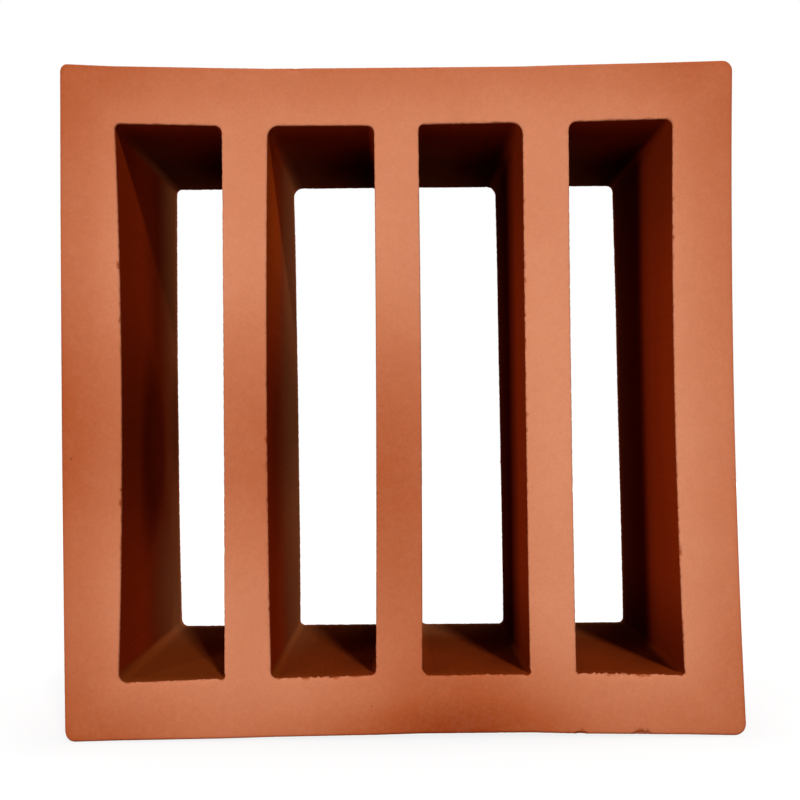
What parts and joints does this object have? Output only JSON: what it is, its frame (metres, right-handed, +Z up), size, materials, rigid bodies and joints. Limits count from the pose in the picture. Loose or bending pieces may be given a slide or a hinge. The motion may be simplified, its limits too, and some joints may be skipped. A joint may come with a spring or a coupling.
{
  "type": "terracotta breeze block",
  "caption": "Square fired-clay screen block with a row of upright slots right through it, laid in open walls to let air and light pass.",
  "frame": {"origin": "middle of the lower bed face, where the block rests", "axes": "+X along the wall, to the right seen from the front; +Y through the wall, from the front face to the back face; +Z up, along the slots' long sides"},
  "size_m": [0.19, 0.09, 0.19],
  "materials": {
    "fired_clay": "matte"
  },
  "bodies": {
    "root": {"breeze_block": "fired_clay"}
  },
  "joints": []
}
